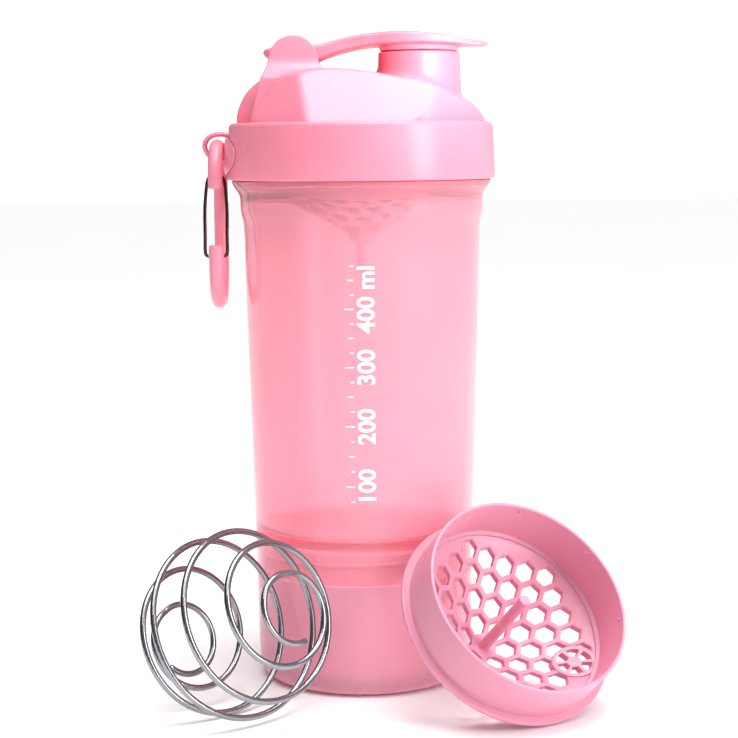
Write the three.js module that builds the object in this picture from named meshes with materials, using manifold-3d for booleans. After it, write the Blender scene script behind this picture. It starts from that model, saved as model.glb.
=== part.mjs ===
// A two-chamber protein shaker bottle with its lid, strainers, clip and wire whisk ball.
// Millimetres, +Z up. The origin is the centre of the underside, where the bottle stands.
import * as THREE from 'three';
import { mergeVertices } from 'three/addons/utils/BufferGeometryUtils.js';
import Module from 'manifold-3d';

const wasm = await Module();
wasm.setup();

// ---------------------------------------------------------------- driving dimensions
const SEGMENTS = 36;                // sides of the large round pieces
const SMALL_SEGMENTS = 20;          // sides of the small round pieces
const CONE_SEGMENTS = 16;           // sides of a strainer's cone
const GAP = 0.3;                    // clearance between touching pieces

const BASE_R = 39.0;                // compartment, at its foot
const SEAM_R = 39.8;                // compartment, at the seam
const SEAM_Z = 40.5;                // where tumbler skirt and compartment meet
const COMPARTMENT_FLOOR = 3.0;      // floor thickness
const COMPARTMENT_WALL = 2.2;
const COMPARTMENT_NECK_R = 36.9;    // neck that goes up inside the skirt
const COMPARTMENT_NECK_TOP = 51.6;
const TUMBLER_FLOOR_Z = 54.3;       // inside of the tumbler's floor
const TUMBLER_FLOOR = 2.0;
const SKIRT_INNER_R = 38.2;

const STEP_LOW_Z = 166.0;           // the wall's small step, lower end
const STEP_HIGH_Z = 170.0;          // and upper end
const BAND_R = 43.8;                // band above the step
const WALL_R = 42.6;                // wall just below the step
const COLLAR_R = 46.8;              // collar that the lid closes on
const COLLAR_TOP = 181.2;
const TUMBLER_WALL = 2.0;
const LEDGE_Z = 180.3;              // ledge that carries the strainer
const LEDGE_R = 38.6;
const NECK_R = 42.0;                // threaded neck, outside
const NECK_INNER_R = 40.1;
const NECK_TOP = 198.0;
const THREAD_HEIGHT = 0.9;
const THREAD_PITCH = 5.0;

const LID_R = 48.3;                 // skirt of the lid, at its open end
const LID_TOP_R = 47.3;             // and at its top
const LID_BOTTOM = 181.5;
const LID_INNER_R = 44.0;
const LID_SHOULDER_Z = 200.1;       // underside of the shoulder that presses the seal
const RING_TOP = 201.6;             // top of the lid's skirt
const DOME_R = 44.6;                // dome where it leaves the skirt
const LID_WALL = 2.0;
const FRONT_FACET_Y = 40.2;         // flat facet on the front and back of the dome, at its foot
const FRONT_FACET_LEAN = 0.8;       // how far it leans in for each millimetre up
const CORNER_FACET = 42.56;         // distance of the two corner facets from the axis
const CORNER_FACET_LEAN = 0.49;
const CORNER_FACET_TURN = 0.87;     // angle of their outward direction from -X

const PIVOT_X = -24.2;              // hinge of the flip cap
const PIVOT_Z = 224.7;
const PIN_R = 1.6;
const PIN_HALF = 11.4;
const PIN_HOLE_R = 1.9;
const KNUCKLE_R = 4.1;
const EAR_INNER_Y = 8.6;            // the two ears stand between these two
const EAR_OUTER_Y = 15.5;
const EAR_TOP_R = 8.6;              // round top of an ear
const EAR_X = -23.5;
const EAR_Z = 223.4;
const ARM_HALF_Y = 8.2;             // half width of the lever at the hinge
const LEVER_SPACE_R = 11.4;         // room for the lever's tail to swing

const SPOUT_X = 21.1;
const SPOUT_R = 14.6;
const SPOUT_FOOT_R = 15.4;
const SPOUT_INNER_R = 12.9;
const SPOUT_TOP = 226.4;
const CAP_R = 17.2;                 // round cap over the spout
const CAP_UNDER_Z = 228.4;          // underside of the round cap
const CAP_TIP_X = 45.7;

const STRAINER_Z = LEDGE_Z + 1.8;   // the fitted strainer's flange plane
const FLANGE_R = 39.8;
const FLANGE_THICK = 1.5;
const CUP_R = 37.0;                 // strainer wall, outside
const CUP_WALL = 1.2;
const CUP_HEIGHT = 17.2;
const CONE_DEPTH = 21.2;
const CONE_WALL = 1.6;
const STEM_R = 2.0;
const STEM_LOW = -34.1;
const POST_HIGH = 13.6;
const HEX_PITCH = 7.7;
const HEX_FLATS = 6.0;

const WIRE_R = 1.1;                 // whisk wire
const WHISK_R = 31.5;               // wire centre line
const WHISK_TURNS = 4.89;           // of the open coil
const WHISK_LEAD = 0.57;            // turns of the end loop before it
const WHISK_TAIL = 0.72;            // and after it
const WHISK_PHASE = 4.524;          // where the open coil starts round the axis
const WHISK_START = 0.379;          // polar angle of the first end loop
const WHISK_FINISH = 0.400;         // and of the last
const WHISK_X = -43.5;
const WHISK_Y = -59.5;
const WHISK_RISE = 0.356;           // the coil's axis above the table
const WHISK_BEARING = -0.777;       // and its bearing from +X

const CLIP_X = -51.8;               // carabiner
const CLIP_BOTTOM = 135.1;
const CLIP_TOP = 196.0;
const CLIP_BAR = 5.2;
const CLIP_DEPTH = 30.0;
const NOSE_Z = 178.5;               // lower end of the nose
const STUB_Z = 158.6;               // upper end of the gate's foot
const GATE_WIRE_R = 0.6;
const GATE_HALF = 3.9;              // strand centre line either side of the bar
const GATE_PIVOT_Z = 154.8;
const GATE_TOP_Z = 183.2;

const LOOP_BAR = 1.8;               // carry loop, thickness in its own plane
const LOOP_WIDTH = 4.6;             // and across it
const LOOP_LEFT_X = -56.3;          // centre of its outer bar
const LOOP_HIGH_Z = 197.8;          // centre of its upper bar
const LOOP_LOW_Z = 189.3;           // centre of its lower bar, where the clip hangs
const PAD_HALF_Y = 20.0;            // oval pad that the loop grows from
const PAD_HALF_Z = 7.0;
const PAD_Z = 190.0;
const PAD_THICK = 1.2;

// ---------------------------------------------------------------- solids
const toSolid = (geometry) => {
  const clean = geometry.clone();
  clean.deleteAttribute('normal');
  clean.deleteAttribute('uv');
  const merged = mergeVertices(clean, 1e-4);
  return new wasm.Manifold(new wasm.Mesh({
    numProp: 3,
    vertProperties: new Float32Array(merged.attributes.position.array),
    triVerts: new Uint32Array(merged.index.array),
  }));
};

const toGeometry = (solid) => {
  const mesh = solid.getMesh();
  const geometry = new THREE.BufferGeometry();
  geometry.setAttribute('position', new THREE.BufferAttribute(mesh.vertProperties, 3));
  geometry.setIndex(new THREE.BufferAttribute(mesh.triVerts, 1));
  geometry.computeVertexNormals();
  return geometry;
};

const points = (pairs) => pairs.map(([a, b]) => new THREE.Vector2(a, b));

// A solid of revolution about Z from [radius, z] pairs that go up the outside.
const turned = (pairs, segments = SEGMENTS, x = 0, y = 0) => {
  const first = pairs[0];
  const last = pairs[pairs.length - 1];
  const closes = first[0] !== 0 || last[0] !== 0;
  const profile = points(closes ? [...pairs, first] : pairs);
  const lathe = new THREE.LatheGeometry(profile, segments);
  return toSolid(lathe.rotateX(Math.PI / 2).translate(x, y, 0));
};

// A plate with an outline of [x, z] pairs, from y0 to y1.
const sidePlate = (outline, y0, y1) => {
  const shape = outline instanceof THREE.Shape ? outline : new THREE.Shape(points(outline));
  const plate = new THREE.ExtrudeGeometry(shape, { depth: y1 - y0, bevelEnabled: false, curveSegments: 6 });
  return toSolid(plate.rotateX(Math.PI / 2).translate(0, y1, 0));
};

// A plate with an outline of [x, y] pairs, from z0 to z1.
const flatPlate = (outline, z0, z1, curveSegments = 12) => {
  const shape = outline instanceof THREE.Shape ? outline : new THREE.Shape(points(outline));
  const plate = new THREE.ExtrudeGeometry(shape, { depth: z1 - z0, bevelEnabled: false, curveSegments });
  return toSolid(plate.translate(0, 0, z0));
};

const crossPin = (x, z, radius, y0, y1, segments = SMALL_SEGMENTS) => toSolid(
  new THREE.CylinderGeometry(radius, radius, y1 - y0, segments).translate(x, (y0 + y1) / 2, z));

// A bar with an oval section swept along a curve.
const swept = (curve, halfA, halfB, steps, sides = 8) => {
  const section = new THREE.Shape();
  for (let i = 0; i < sides; i += 1) {
    const turn = ((i + 0.5) / sides) * 2 * Math.PI;
    const place = [halfA * Math.cos(turn), halfB * Math.sin(turn)];
    if (i === 0) section.moveTo(...place);
    else section.lineTo(...place);
  }
  section.closePath();
  return toSolid(new THREE.ExtrudeGeometry(section, { steps, extrudePath: curve }));
};

const smooth = (list, closed = false) => new THREE.CatmullRomCurve3(
  list.map((place) => new THREE.Vector3(...place)), closed, 'centripetal');

// One thread ridge: a helix of triangular section that stands on radius r, out or in.
class Helix extends THREE.Curve {
  constructor(radius, low, pitch, turns) {
    super();
    Object.assign(this, { radius, low, pitch, turns });
  }

  getPoint(t, target = new THREE.Vector3()) {
    const turn = t * this.turns * 2 * Math.PI;
    const z = this.low + this.pitch * this.turns * t;
    return target.set(this.radius * Math.cos(turn), this.radius * Math.sin(turn), z);
  }
}

const thread = (radius, low, turns) => swept(
  new Helix(radius, low, THREAD_PITCH, turns), THREAD_HEIGHT, THREAD_HEIGHT, Math.round(20 * turns), 4);

// ---------------------------------------------------------------- storage compartment
function storageCompartment() {
  const cup = turned([
    [0, 0], [BASE_R - 3.6, 0], [BASE_R - 1.1, 1.0], [BASE_R, 3.4],
    [SEAM_R, SEAM_Z - GAP], [COMPARTMENT_NECK_R, SEAM_Z - GAP],
    [COMPARTMENT_NECK_R, COMPARTMENT_NECK_TOP],
    [COMPARTMENT_NECK_R - COMPARTMENT_WALL, COMPARTMENT_NECK_TOP],
    [COMPARTMENT_NECK_R - COMPARTMENT_WALL, 9.5],
    [COMPARTMENT_NECK_R - COMPARTMENT_WALL - 1.6, 5.4],
    [COMPARTMENT_NECK_R - COMPARTMENT_WALL - 5.6, COMPARTMENT_FLOOR],
    [0, COMPARTMENT_FLOOR],
  ]);
  return cup.add(thread(COMPARTMENT_NECK_R - 0.2, 43.5, 1.1));
}

// ---------------------------------------------------------------- tumbler
function tumbler() {
  const floorLow = TUMBLER_FLOOR_Z - TUMBLER_FLOOR;
  const body = turned([
    [0, floorLow], [SKIRT_INNER_R - 1.4, floorLow], [SKIRT_INNER_R, floorLow - 1.2],
    [SKIRT_INNER_R, SEAM_Z], [SEAM_R, SEAM_Z],
    [WALL_R, STEP_LOW_Z], [BAND_R, STEP_HIGH_Z], [BAND_R, 175.6],
    [COLLAR_R - 0.5, COLLAR_TOP - 1.8], [COLLAR_R, COLLAR_TOP - 0.9], [COLLAR_R, COLLAR_TOP],
    [NECK_R, COLLAR_TOP], [NECK_R, NECK_TOP], [NECK_INNER_R, NECK_TOP],
    [NECK_INNER_R, LEDGE_Z], [LEDGE_R, LEDGE_Z], [LEDGE_R, 179.0],
    [BAND_R - TUMBLER_WALL, 175.0], [BAND_R - TUMBLER_WALL, STEP_HIGH_Z],
    [WALL_R - TUMBLER_WALL, STEP_LOW_Z],
    [SEAM_R + 0.3 - TUMBLER_WALL, TUMBLER_FLOOR_Z + 3.0],
    [SEAM_R - 2.6 - TUMBLER_WALL, TUMBLER_FLOOR_Z], [0, TUMBLER_FLOOR_Z],
  ]);
  return body.add(thread(NECK_R - 0.1, 186.0, 1.2));
}

// ---------------------------------------------------------------- lid
const domeProfile = (inset) => [
  [0, RING_TOP - 4], [DOME_R - inset, RING_TOP - 4], [DOME_R - inset, RING_TOP],
  [44.2 - inset, 205.4], [42.9 - inset, 209.0 - inset * 0.3], [41.0 - inset, 212.3 - inset * 0.6],
  [37.2 - inset, 216.0 - inset * 0.8], [32.6 - inset, 218.8 - inset],
  [26.0 - inset, 220.8 - inset], [14.0, 221.8 - inset], [0, 222.0 - inset],
];

// The deck falls from the ears to the spout and on to the right edge.
const deckOutline = (drop) => [
  [-50, 190], [50, 190], [50, 200.0 - drop], [44.0, 203.0 - drop], [42.0, 205.2 - drop],
  [39.7, 207.4 - drop], [36.9, 209.2 - drop], [30.0, 212.0 - drop], [23.7, 214.4 - drop],
  [17.2, 216.2 - drop], [5.0, 218.6 - drop], [-12.3, 220.4 - drop], [-18.3, 220.4 - drop],
  [-27.6, 219.2 - drop], [-36.0, 217.2 - drop], [-50, 213.0 - drop],
];

// Everything on the far side of a plane, as a large block.
const beyond = (point, normal) => {
  const block = new THREE.BoxGeometry(60, 200, 200).translate(30, 0, 0);
  const turn = new THREE.Quaternion().setFromUnitVectors(new THREE.Vector3(1, 0, 0), normal);
  return toSolid(block.applyQuaternion(turn).translate(point.x, point.y, point.z));
};

// The facets that flatten the dome at the front, the back and the two left corners.
function facetCuts(inset) {
  const cuts = [];
  for (const side of [-1, 1]) {
    const front = new THREE.Vector3(0, side, FRONT_FACET_LEAN);
    const corner = new THREE.Vector3(
      -Math.cos(CORNER_FACET_TURN), side * Math.sin(CORNER_FACET_TURN), 0);
    const foot = corner.clone().multiplyScalar(CORNER_FACET).setZ(RING_TOP);
    corner.z = CORNER_FACET_LEAN;
    const places = [[new THREE.Vector3(0, side * FRONT_FACET_Y, RING_TOP), front], [foot, corner]];
    for (const [point, normal] of places) {
      normal.normalize();
      cuts.push(beyond(point.addScaledVector(normal, -inset), normal));
    }
  }
  return wasm.Manifold.union(cuts);
}

// The left edge of the shoulders and ears, from the skirt up.
const EAR_EDGE = [[-38.9, RING_TOP - 1], [-36.9, 209.2], [-34.6, 217.4], [-32.6, 221.6]];

function shoulderCuts(inset) {
  const edge = EAR_EDGE.map(([x, z]) => [x + inset, z]);
  const outline = [[-60, RING_TOP - (inset ? 10 : 0)], [-38.9 + inset, RING_TOP - (inset ? 10 : 0)],
    ...edge.slice(1), [edge[3][0], 230], [-60, 230]];
  const y0 = EAR_INNER_Y + 1.4 - inset;
  return sidePlate(outline, y0, 60).add(sidePlate(outline, -60, -y0));
}

function earOutline() {
  const shape = new THREE.Shape();
  shape.moveTo(...EAR_EDGE[0]);
  EAR_EDGE.slice(1).forEach((place) => shape.lineTo(...place));
  shape.absarc(EAR_X, EAR_Z, EAR_TOP_R, Math.PI, 0, true);
  shape.quadraticCurveTo(-13.6, 219.6, -6.0, 217.4);
  shape.lineTo(-6.0, RING_TOP - 1);
  shape.closePath();
  return shape;
}

function lid() {
  const skirt = turned([
    [LID_INNER_R, LID_BOTTOM], [LID_R - 0.4, LID_BOTTOM], [LID_R, LID_BOTTOM + 0.5],
    [LID_TOP_R, RING_TOP - 1.6], [LID_TOP_R - 0.5, RING_TOP - 0.5], [LID_TOP_R - 1.6, RING_TOP],
    [DOME_R - LID_WALL - 1.5, RING_TOP], [DOME_R - LID_WALL - 1.5, LID_SHOULDER_Z],
    [LID_INNER_R, LID_SHOULDER_Z],
  ]);
  const outer = turned(domeProfile(0)).intersect(sidePlate(deckOutline(0), -46, 46))
    .subtract(facetCuts(0)).subtract(shoulderCuts(0));
  const slotFloor = crossPin(PIVOT_X, PIVOT_Z, LEVER_SPACE_R + LID_WALL,
    -EAR_INNER_Y - LID_WALL, EAR_INNER_Y + LID_WALL, 32);
  const inner = turned(domeProfile(LID_WALL).map(([r, z]) => [r, z === RING_TOP - 4 ? 190 : z]))
    .intersect(sidePlate(deckOutline(LID_WALL), -46, 46))
    .subtract(facetCuts(LID_WALL)).subtract(shoulderCuts(LID_WALL)).subtract(slotFloor);
  const belowShoulder = turned([[0, 180], [60, 180], [60, LID_SHOULDER_Z], [0, LID_SHOULDER_Z]]);
  const dome = outer.subtract(belowShoulder);
  const ears = [[EAR_INNER_Y, EAR_OUTER_Y], [-EAR_OUTER_Y, -EAR_INNER_Y]]
    .map(([y0, y1]) => sidePlate(earOutline(), y0, y1))
    .reduce((a, b) => a.add(b));
  const spout = turned([
    [0, 203], [SPOUT_FOOT_R, 203], [SPOUT_FOOT_R - 0.2, 210], [SPOUT_R, 220],
    [SPOUT_R, SPOUT_TOP - 0.5], [SPOUT_R - 0.5, SPOUT_TOP], [0, SPOUT_TOP],
  ], 28, SPOUT_X);
  const bore = turned([
    [0, 195], [SPOUT_INNER_R, 195], [SPOUT_INNER_R, SPOUT_TOP + 1], [0, SPOUT_TOP + 1],
  ], 28, SPOUT_X);
  const leverSpace = crossPin(PIVOT_X, PIVOT_Z, LEVER_SPACE_R, -EAR_INNER_Y, EAR_INNER_Y, 32);
  const pinHoles = crossPin(PIVOT_X, PIVOT_Z, PIN_HOLE_R, -PIN_HALF - GAP, PIN_HALF + GAP);
  const ridge = thread(LID_INNER_R + 0.1, 184.6, 1.2).intersect(turned([
    [38, LID_BOTTOM + 0.5], [LID_INNER_R + 0.8, LID_BOTTOM + 0.5],
    [LID_INNER_R + 0.8, LID_SHOULDER_Z], [38, LID_SHOULDER_Z]]));
  return skirt.add(dome).add(ears).add(spout)
    .subtract(inner).subtract(bore).subtract(leverSpace).subtract(pinHoles).add(ridge);
}

const lidSeal = () => turned([
  [NECK_INNER_R + 0.3, NECK_TOP + GAP], [LID_INNER_R - 0.4, NECK_TOP + GAP],
  [LID_INNER_R - 0.4, LID_SHOULDER_Z - GAP], [NECK_INNER_R + 0.3, LID_SHOULDER_Z - GAP],
]);

// ---------------------------------------------------------------- flip cap
const hingePin = () => crossPin(PIVOT_X, PIVOT_Z, PIN_R, -PIN_HALF, PIN_HALF);

function flipCap() {
  const side = new THREE.Shape();
  side.moveTo(PIVOT_X, PIVOT_Z + KNUCKLE_R);
  side.quadraticCurveTo(-17.0, 229.0, -10.3, 230.3);
  side.quadraticCurveTo(0.0, 233.5, 13.0, 233.5);
  side.quadraticCurveTo(25.0, 233.4, 37.0, 230.8);
  side.lineTo(CAP_TIP_X - 0.9, 229.7);
  side.lineTo(CAP_TIP_X, 229.0);
  side.lineTo(CAP_TIP_X - 0.6, 228.3);
  side.lineTo(41.0, CAP_UNDER_Z);
  side.lineTo(5.0, CAP_UNDER_Z);
  side.quadraticCurveTo(-6.0, 227.0, -15.0, 223.2);
  side.lineTo(PIVOT_X, PIVOT_Z - KNUCKLE_R);
  side.closePath();
  const plan = new THREE.Shape();
  plan.moveTo(PIVOT_X, -ARM_HALF_Y);
  plan.quadraticCurveTo(-6, -ARM_HALF_Y, 6.0, -12.0);
  plan.quadraticCurveTo(13.0, -CAP_R, SPOUT_X, -CAP_R);
  plan.quadraticCurveTo(35.0, -CAP_R, 40.0, -9.0);
  plan.quadraticCurveTo(44.5, -6.0, CAP_TIP_X, 0);
  plan.quadraticCurveTo(44.5, 6.0, 40.0, 9.0);
  plan.quadraticCurveTo(35.0, CAP_R, SPOUT_X, CAP_R);
  plan.quadraticCurveTo(13.0, CAP_R, 6.0, 12.0);
  plan.quadraticCurveTo(-6, ARM_HALF_Y, PIVOT_X, ARM_HALF_Y);
  plan.closePath();
  const lever = sidePlate(side, -20, 20).intersect(flatPlate(plan, 215, 240, 6));
  const tail = sidePlate([[PIVOT_X, 228.7], [PIVOT_X, 222.5], [-30.5, 223.6], [-34.4, 225.4],
    [-34.4, 227.2], [-30.5, 228.6]], -ARM_HALF_Y + 1, ARM_HALF_Y - 1);
  const knuckle = crossPin(PIVOT_X, PIVOT_Z, KNUCKLE_R, -ARM_HALF_Y, ARM_HALF_Y);
  const collar = turned([
    [0, SPOUT_TOP + GAP], [SPOUT_R - 0.6, SPOUT_TOP + GAP], [SPOUT_R - 0.1, CAP_UNDER_Z + 0.4],
    [0, CAP_UNDER_Z + 0.4],
  ], 28, SPOUT_X);
  const hole = crossPin(PIVOT_X, PIVOT_Z, PIN_HOLE_R, -20, 20);
  return lever.add(tail).add(knuckle).add(collar).subtract(hole);
}

const capSeal = () => turned([
  [0, 223.6], [SPOUT_INNER_R - 1.2, 223.6], [SPOUT_INNER_R - 0.5, 224.4],
  [SPOUT_INNER_R - 0.5, 226.5], [0, 226.5],
], 28, SPOUT_X);

// ---------------------------------------------------------------- carry loop and carabiner
function carryLoop() {
  const route = smooth([
    [-46.0, 0, LOOP_HIGH_Z - 1.4], [-49.6, 0, LOOP_HIGH_Z], [-53.0, 0, LOOP_HIGH_Z - 0.2],
    [-55.4, 0, LOOP_HIGH_Z - 1.8], [LOOP_LEFT_X, 0, 193.6], [-55.4, 0, LOOP_LOW_Z + 1.6],
    [-53.6, 0, LOOP_LOW_Z + 0.2], [CLIP_X, 0, LOOP_LOW_Z], [-49.0, 0, LOOP_LOW_Z - 0.9],
    [-46.0, 0, LOOP_LOW_Z - 2.2],
  ]);
  const bar = swept(route, LOOP_WIDTH / 2, LOOP_BAR / 2, 22);
  const outside = (extra) => turned([
    [0, 170], [LID_R + extra + 0.6, 170], [LID_R + extra, LID_BOTTOM],
    [LID_TOP_R + extra, RING_TOP - 1.6], [LID_TOP_R + extra, 210], [0, 210]]);
  const oval = new THREE.Shape();
  oval.absellipse(0, PAD_Z, PAD_HALF_Y, PAD_HALF_Z, 0, 2 * Math.PI, false);
  const prism = new THREE.ExtrudeGeometry(oval, { depth: 40, bevelEnabled: false, curveSegments: 10 });
  const side = toSolid(prism.rotateX(Math.PI / 2).rotateZ(Math.PI / 2).translate(-60, 0, 0));
  const pad = outside(GAP + PAD_THICK).intersect(side);
  return bar.add(pad).subtract(outside(GAP));
}

function carabinerFrame() {
  const r = CLIP_DEPTH / 2 - CLIP_BAR / 2;
  const highZ = CLIP_TOP - CLIP_BAR / 2 - r;
  const lowZ = CLIP_BOTTOM + CLIP_BAR / 2 + r;
  const list = [[CLIP_X, -r, NOSE_Z]];
  for (let i = 0; i <= 8; i += 1) {
    const turn = Math.PI - (i / 8) * Math.PI;
    list.push([CLIP_X, r * Math.cos(turn), highZ + r * Math.sin(turn)]);
  }
  list.push([CLIP_X, r, (highZ + lowZ) / 2]);
  for (let i = 0; i <= 8; i += 1) {
    const turn = -(i / 8) * Math.PI;
    list.push([CLIP_X, r * Math.cos(turn), lowZ + r * Math.sin(turn)]);
  }
  list.push([CLIP_X, -r, STUB_Z]);
  return swept(smooth(list), CLIP_BAR / 2, CLIP_BAR / 2, 44);
}

function carabinerGate() {
  const y = -(CLIP_DEPTH / 2 - CLIP_BAR / 2);
  const yTop = y + CLIP_BAR / 2 + GATE_WIRE_R + GAP + 0.2;
  const inside = CLIP_BAR / 2 + GAP;
  const side = (s) => [
    [CLIP_X + s * inside, y, GATE_PIVOT_Z], [CLIP_X + s * (GATE_HALF - 0.8), y, GATE_PIVOT_Z],
    [CLIP_X + s * GATE_HALF, y, GATE_PIVOT_Z + 1.2], [CLIP_X + s * GATE_HALF, y + 0.4, 162],
    [CLIP_X + s * GATE_HALF, y + 1.6, 172],
    [CLIP_X + s * (GATE_HALF - 1.0), yTop - 0.6, GATE_TOP_Z - 1.6],
    [CLIP_X + s * (GATE_HALF - 3.0), yTop, GATE_TOP_Z - 0.75]];
  return swept(smooth([...side(-1), ...side(1).reverse()]), GATE_WIRE_R, GATE_WIRE_R, 48, 6);
}

// ---------------------------------------------------------------- strainers
// In its own frame the flange plane is z = 0, the cup opens up and the cone points down.
function strainer() {
  const low = -FLANGE_THICK;
  const wall = turned([
    [CUP_R - 2.4, low], [FLANGE_R, low], [FLANGE_R, 0], [CUP_R, 0], [CUP_R, CUP_HEIGHT],
    [CUP_R - CUP_WALL, CUP_HEIGHT], [CUP_R - CUP_WALL, 0.3], [CUP_R - 2.4, 0.0],
  ]);
  const cone = turned([
    [0, -CONE_DEPTH - CONE_WALL], [CUP_R - 1.2, low], [CUP_R - 1.2, 0.1], [0, -CONE_DEPTH],
  ], CONE_SEGMENTS);
  const flats = new THREE.Shape();
  for (let i = 0; i < 6; i += 1) {
    const turn = ((i + 0.5) / 6) * 2 * Math.PI;
    const reach = HEX_FLATS / 2 / Math.cos(Math.PI / 6);
    const place = [reach * Math.cos(turn), reach * Math.sin(turn)];
    if (i === 0) flats.moveTo(...place);
    else flats.lineTo(...place);
  }
  flats.closePath();
  const hole = flatPlate(flats, -40, -1.0);
  const holes = [];
  for (let row = -5; row <= 5; row += 1) {
    for (let column = -5; column <= 5; column += 1) {
      const x = HEX_PITCH * (column + (row % 2 ? 0.5 : 0));
      const y = HEX_PITCH * row * Math.sqrt(0.75);
      const reach = Math.hypot(x, y);
      if (reach > HEX_FLATS * 0.9 && reach < CUP_R - 5.0) holes.push(hole.translate([x, y, 0]));
    }
  }
  const clip = turned([[0, -60], [CUP_R - 3.4, -60], [CUP_R - 3.4, 1], [0, 1]]);
  const stem = turned([[0, STEM_LOW], [STEM_R, STEM_LOW], [STEM_R, POST_HIGH], [0, POST_HIGH]],
    SMALL_SEGMENTS / 2);
  return cone.subtract(wasm.Manifold.union(holes).intersect(clip)).add(wall).add(stem);
}

// ---------------------------------------------------------------- whisk ball
// One wire wound on a sphere about a slanted axis, with its centre at the origin.
class SphereHelix extends THREE.Curve {
  constructor() {
    super();
    this.axis = new THREE.Vector3(1, 0, 0)
      .applyEuler(new THREE.Euler(0, -WHISK_RISE, WHISK_BEARING, 'ZYX'));
    this.side = this.axis.clone().cross(new THREE.Vector3(0, 0, 1)).normalize();
    this.across = this.axis.clone().cross(this.side);
  }

  getPoint(t, target = new THREE.Vector3()) {
    const lap = t * (WHISK_LEAD + WHISK_TURNS + WHISK_TAIL) - WHISK_LEAD;
    const share = THREE.MathUtils.clamp(lap / WHISK_TURNS, 0, 1);
    const polar = THREE.MathUtils.lerp(WHISK_START, Math.PI - WHISK_FINISH, share);
    const turn = WHISK_PHASE - lap * 2 * Math.PI;
    return target.set(0, 0, 0)
      .addScaledVector(this.axis, Math.cos(polar))
      .addScaledVector(this.side, Math.sin(polar) * Math.cos(turn))
      .addScaledVector(this.across, Math.sin(polar) * Math.sin(turn))
      .multiplyScalar(WHISK_R);
  }
}

function whiskBall() {
  const steps = Math.round((WHISK_LEAD + WHISK_TURNS + WHISK_TAIL) * 24);
  return swept(new SphereHelix(), WIRE_R, WIRE_R, steps, 6);
}

// ---------------------------------------------------------------- assembly
const PINK = '#f59ab8';
const finishes = {
  clear: { color: PINK, roughness: 0.15, metalness: 0, transparent: true, opacity: 0.7 },
  shell: { color: '#f7a3b5', roughness: 0.35, metalness: 0 },
  soft: { color: '#e9849f', roughness: 0.7, metalness: 0 },
  steel: { color: '#c9ccd0', roughness: 0.2, metalness: 1 },
  wire: { color: '#5d4a4a', roughness: 0.3, metalness: 1 },
};

const bottle = new THREE.Group();
const place = (name, solid, finish) => {
  const mesh = new THREE.Mesh(toGeometry(solid), new THREE.MeshStandardMaterial(finishes[finish]));
  mesh.name = name;
  bottle.add(mesh);
  return mesh;
};

place('storage_compartment', storageCompartment(), 'clear');
place('tumbler', tumbler(), 'clear');
place('lid', lid(), 'shell');
place('lid_seal', lidSeal(), 'soft');
place('hinge_pin', hingePin(), 'shell');
place('flip_cap', flipCap(), 'shell');
place('cap_seal', capSeal(), 'soft');
place('carry_loop', carryLoop(), 'shell');
place('carabiner_frame', carabinerFrame(), 'shell');
place('carabiner_gate', carabinerGate(), 'wire');

const strainerSolid = strainer();
place('fitted_strainer', strainerSolid, 'clear').position.z = STRAINER_Z;

// The loose strainer stands on its flange edge and leans on the bottle, opening to one side.
const LOOSE_TILT = 0.841;
const LOOSE_TURN = -1.004;
const loose = place('loose_strainer', strainerSolid, 'clear');
loose.rotation.set(0, LOOSE_TILT, LOOSE_TURN, 'ZYX');
loose.position.set(49.2, -49.0,
  FLANGE_R * Math.sin(LOOSE_TILT) + FLANGE_THICK * Math.cos(LOOSE_TILT) + 0.02);

place('whisk_ball', whiskBall(), 'steel').position.set(WHISK_X, WHISK_Y, WHISK_R + WIRE_R + 0.05);

export default bottle;
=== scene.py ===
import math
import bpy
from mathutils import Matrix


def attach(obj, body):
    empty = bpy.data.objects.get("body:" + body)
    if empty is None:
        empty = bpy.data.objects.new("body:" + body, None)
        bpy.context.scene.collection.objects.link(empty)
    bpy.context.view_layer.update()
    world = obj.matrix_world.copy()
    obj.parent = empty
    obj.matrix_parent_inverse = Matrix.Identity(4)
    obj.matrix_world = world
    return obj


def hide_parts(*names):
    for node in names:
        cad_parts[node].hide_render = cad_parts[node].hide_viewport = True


bl_info = {
    "name": "Shaker Bottle Maker",
    "version": (1, 0, 0),
    "blender": (4, 5, 0),
    "location": "View3D > Sidebar > Shaker",
    "description": "Builds a two-chamber shaker bottle with its lid, strainers, clip and whisk ball",
    "category": "Add Mesh",
}

import bmesh
import bpy
from bpy.props import FloatProperty, FloatVectorProperty, IntProperty, PointerProperty
from mathutils import Matrix, Vector

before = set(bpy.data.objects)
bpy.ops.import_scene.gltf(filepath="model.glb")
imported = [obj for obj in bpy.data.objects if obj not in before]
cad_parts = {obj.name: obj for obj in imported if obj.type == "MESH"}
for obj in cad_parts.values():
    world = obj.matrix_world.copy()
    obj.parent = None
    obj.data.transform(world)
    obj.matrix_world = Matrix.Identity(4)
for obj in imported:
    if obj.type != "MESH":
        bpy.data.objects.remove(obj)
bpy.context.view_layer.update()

# Shapes are drawn in millimetres and brought to metres when a piece is finished.
MM = 0.001

# ------------------------------------------------------------------ places shared by pieces
SEAM_Z = 40.5                          # between the compartment and the tumbler's skirt
TUMBLER_FLOOR_Z = 54.3
LEDGE_Z = 180.3                        # the ledge inside the neck, under the strainer
STRAINER_Z = 182.1
NECK_TOP = 198.0
RING_BOTTOM = 181.5                    # lower edge of the lid's skirt
RING_TOP = 201.6
SHOULDER_Z = 200.1
PIVOT = Vector((-24.2, 0.0, 224.7))    # axis of the flip cap's hinge
SPOUT_X = 21.1
CLIP_X = -51.8


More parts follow.
